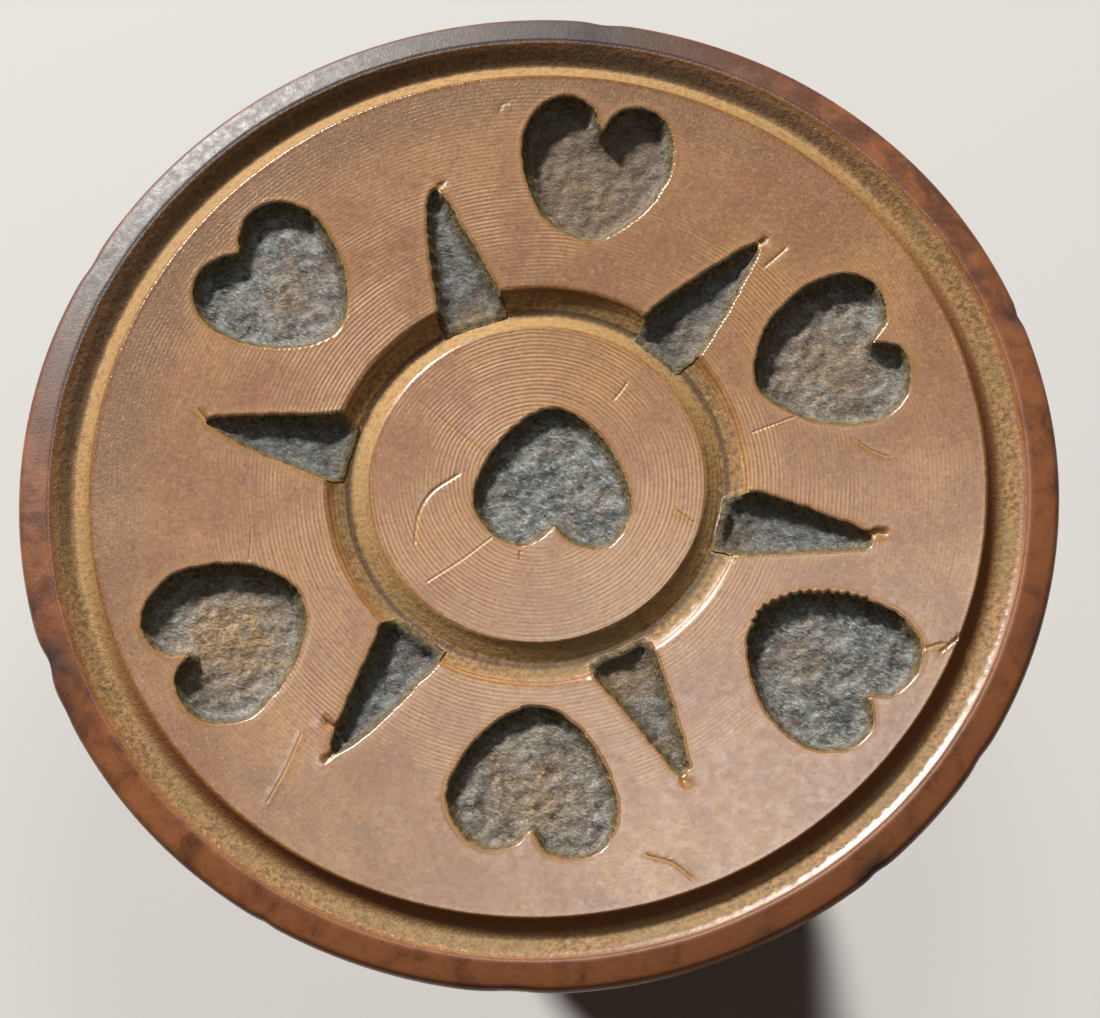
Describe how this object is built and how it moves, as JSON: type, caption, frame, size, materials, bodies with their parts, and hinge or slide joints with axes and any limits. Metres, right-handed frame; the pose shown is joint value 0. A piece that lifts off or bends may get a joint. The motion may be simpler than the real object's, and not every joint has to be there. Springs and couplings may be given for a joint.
{
  "type": "butter mold",
  "caption": "Round hand-held butter print: a carved wooden disc with hearts, rays and two turned grooves on a turned handle that it lifts off.",
  "frame": {"origin": "middle of the handle's flat foot, the lowest face", "axes": "+Z along the turning axis, from the foot to the carved face; -Y is the side that the picture looks from"},
  "size_m": [0.108, 0.108, 0.082],
  "materials": {
    "print_wood": "worn, oiled by use, matte to satin",
    "handle_wood": "dark hand-polished satin"
  },
  "bodies": {
    "handle": {"turned_handle": "handle_wood"},
    "print": {"print_disc": "print_wood"}
  },
  "joints": [
    {"name": "print_lift", "type": "slide", "parent": "handle", "child": "print", "axis": [0, 0, 1], "range_m": [0, 0.014]}
  ]
}
